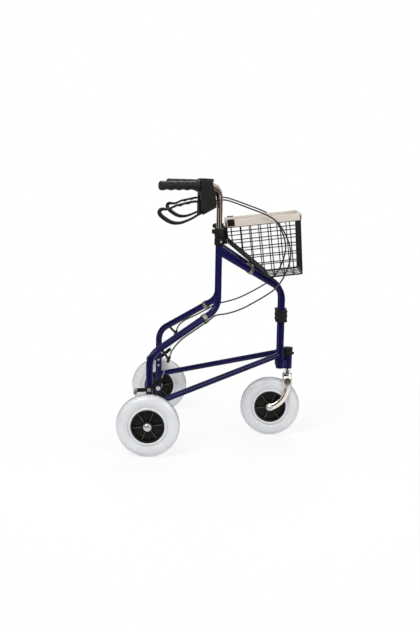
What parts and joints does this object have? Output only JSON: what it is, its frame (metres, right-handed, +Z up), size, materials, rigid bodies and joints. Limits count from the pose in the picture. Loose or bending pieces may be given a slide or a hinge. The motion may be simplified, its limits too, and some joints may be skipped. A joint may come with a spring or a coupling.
{
  "type": "three wheel rollator",
  "caption": "Folding three wheel walking aid with splayed tube frames, a front caster, loop lever brakes, height adjustable handles and a wire basket with a tray.",
  "frame": {"origin": "on the floor under the middle of the rollator, midway between the rear axle line and the caster axle", "axes": "+X forward, +Y to the user's left, +Z up"},
  "size_m": [0.5949, 0.6526, 0.862],
  "materials": {
    "frame_paint": "gloss navy enamel",
    "chrome": "polished chrome plate",
    "steel": "zinc plated fastener steel",
    "tyre": "smooth pale grey tyre, semi gloss",
    "black_plastic": "black moulded plastic",
    "grip_rubber": "black grip rubber",
    "basket_wire": "black coated wire",
    "tray_plastic": "cream moulded plastic",
    "cable": "black cable sheath"
  },
  "bodies": {
    "front_hinge": {"hinge_clamp": "black_plastic", "hinge_screws": "steel", "head_bracket": "frame_paint", "head_tube": "frame_paint", "stem_bushes": "black_plastic", "head_cap": "black_plastic"},
    "caster": {"caster_fork": "chrome", "caster_stem": "steel", "stem_nuts": "chrome", "front_axle": "steel"},
    "front_wheel": {"front_rim": "black_plastic", "front_tyre": "tyre", "front_bearings": "steel"},
    "basket": {"basket_net": "basket_wire"},
    "tray": {"basket_tray": "tray_plastic"},
    "right_frame": {"right_main_tube": "frame_paint", "right_upper_strut": "frame_paint", "right_lower_strut": "frame_paint", "right_tube_plugs": "black_plastic", "right_height_collar": "black_plastic", "right_basket_bracket": "black_plastic", "right_tube_clips": "steel", "right_cable_stop": "black_plastic", "right_rear_axle": "steel", "right_brake_bolts": "steel", "right_brake_cable": "cable"},
    "right_handle": {"right_handle_tube": "chrome", "right_grip": "grip_rubber", "right_brake_housing": "black_plastic", "right_lever_pin": "steel"},
    "right_lever": {"right_brake_lever": "black_plastic"},
    "right_knob": {"right_height_knob": "black_plastic"},
    "right_brake": {"right_brake_arm": "black_plastic", "right_brake_shoe": "steel"},
    "right_wheel": {"right_rear_rim": "black_plastic", "right_rear_tyre": "tyre", "right_rear_bearings": "steel"},
    "left_frame": {"left_main_tube": "frame_paint", "left_upper_strut": "frame_paint", "left_lower_strut": "frame_paint", "left_tube_plugs": "black_plastic", "left_height_collar": "black_plastic", "left_basket_bracket": "black_plastic", "left_tube_clips": "steel", "left_cable_stop": "black_plastic", "left_rear_axle": "steel", "left_brake_bolts": "steel", "left_brake_cable": "cable"},
    "left_handle": {"left_handle_tube": "chrome", "left_grip": "grip_rubber", "left_brake_housing": "black_plastic", "left_lever_pin": "steel"},
    "left_lever": {"left_brake_lever": "black_plastic"},
    "left_knob": {"left_height_knob": "black_plastic"},
    "left_brake": {"left_brake_arm": "black_plastic", "left_brake_shoe": "steel"},
    "left_wheel": {"left_rear_rim": "black_plastic", "left_rear_tyre": "tyre", "left_rear_bearings": "steel"}
  },
  "joints": [
    {"name": "caster_swivel", "type": "hinge", "parent": "front_hinge", "child": "caster", "pos_m": [0.254, 0, 0.26], "axis": [0, 0, 1], "continuous": true},
    {"name": "front_wheel_spin", "type": "hinge", "parent": "caster", "child": "front_wheel", "pos_m": [0.1975, 0, 0.1], "axis": [0, 1, 0], "continuous": true},
    {"name": "right_fold", "type": "hinge", "parent": "front_hinge", "child": "right_frame", "pos_m": [0.227, -0.025, 0.3], "axis": [0, 0, -1], "range_deg": [0, 24]},
    {"name": "right_handle_slide", "type": "slide", "parent": "right_frame", "child": "right_handle", "axis": [0, 0, 1], "range_m": [-0.03, 0.1], "deforming": ["right_brake_cable"]},
    {"name": "right_knob_turn", "type": "hinge", "parent": "right_frame", "child": "right_knob", "pos_m": [0.014, -0.13514, 0.7], "axis": [0.8883, 0.4593, 0], "range_deg": [-180, 180]},
    {"name": "right_lever_squeeze", "type": "hinge", "parent": "right_handle", "child": "right_lever", "pos_m": [-0.0329, -0.15939, 0.77488], "axis": [-0.4593, 0.8883, 0], "range_deg": [0, 18], "stiffness_Nm_per_rad": 2, "springref_deg": -8.59, "deforming": ["right_brake_cable"]},
    {"name": "right_brake_pivot", "type": "hinge", "parent": "right_frame", "child": "right_brake", "pos_m": [-0.1975, -0.2575, 0.206], "axis": [0, -1, 0], "range_deg": [0, 6], "deforming": ["right_brake_cable"]},
    {"name": "right_wheel_spin", "type": "hinge", "parent": "right_frame", "child": "right_wheel", "pos_m": [-0.1975, -0.297, 0.1], "axis": [0, 1, 0], "continuous": true},
    {"name": "left_fold", "type": "hinge", "parent": "front_hinge", "child": "left_frame", "pos_m": [0.227, 0.025, 0.3], "axis": [0, 0, 1], "range_deg": [0, 24]},
    {"name": "left_handle_slide", "type": "slide", "parent": "left_frame", "child": "left_handle", "axis": [0, 0, 1], "range_m": [-0.03, 0.1], "deforming": ["left_brake_cable"]},
    {"name": "left_knob_turn", "type": "hinge", "parent": "left_frame", "child": "left_knob", "pos_m": [0.014, 0.13514, 0.7], "axis": [0.8883, -0.4593, 0], "range_deg": [-180, 180]},
    {"name": "left_lever_squeeze", "type": "hinge", "parent": "left_handle", "child": "left_lever", "pos_m": [-0.0329, 0.15939, 0.77488], "axis": [0.4593, 0.8883, 0], "range_deg": [0, 18], "stiffness_Nm_per_rad": 2, "springref_deg": -8.59, "deforming": ["left_brake_cable"]},
    {"name": "left_brake_pivot", "type": "hinge", "parent": "left_frame", "child": "left_brake", "pos_m": [-0.1975, 0.2575, 0.206], "axis": [0, -1, 0], "range_deg": [0, 6], "deforming": ["left_brake_cable"]},
    {"name": "left_wheel_spin", "type": "hinge", "parent": "left_frame", "child": "left_wheel", "pos_m": [-0.1975, 0.297, 0.1], "axis": [0, 1, 0], "continuous": true},
    {"name": "basket_lift_off", "type": "slide", "parent": "front_hinge", "child": "basket", "axis": [0.9397, 0, 0.342], "range_m": [0, 0.27]},
    {"name": "tray_lift", "type": "slide", "parent": "basket", "child": "tray", "axis": [-0.1219, 0, 0.9925], "range_m": [0, 0.08]}
  ],
  "couplings": [
    {"joint": "right_brake_pivot", "follows": "right_lever_squeeze", "ratio": 0.33333},
    {"joint": "left_brake_pivot", "follows": "left_lever_squeeze", "ratio": 0.33333},
    {"joint": "left_fold", "follows": "right_fold", "ratio": 1},
    {"joint": "basket_lift_off", "follows": "right_fold", "m_per_rad": 0.64458}
  ]
}
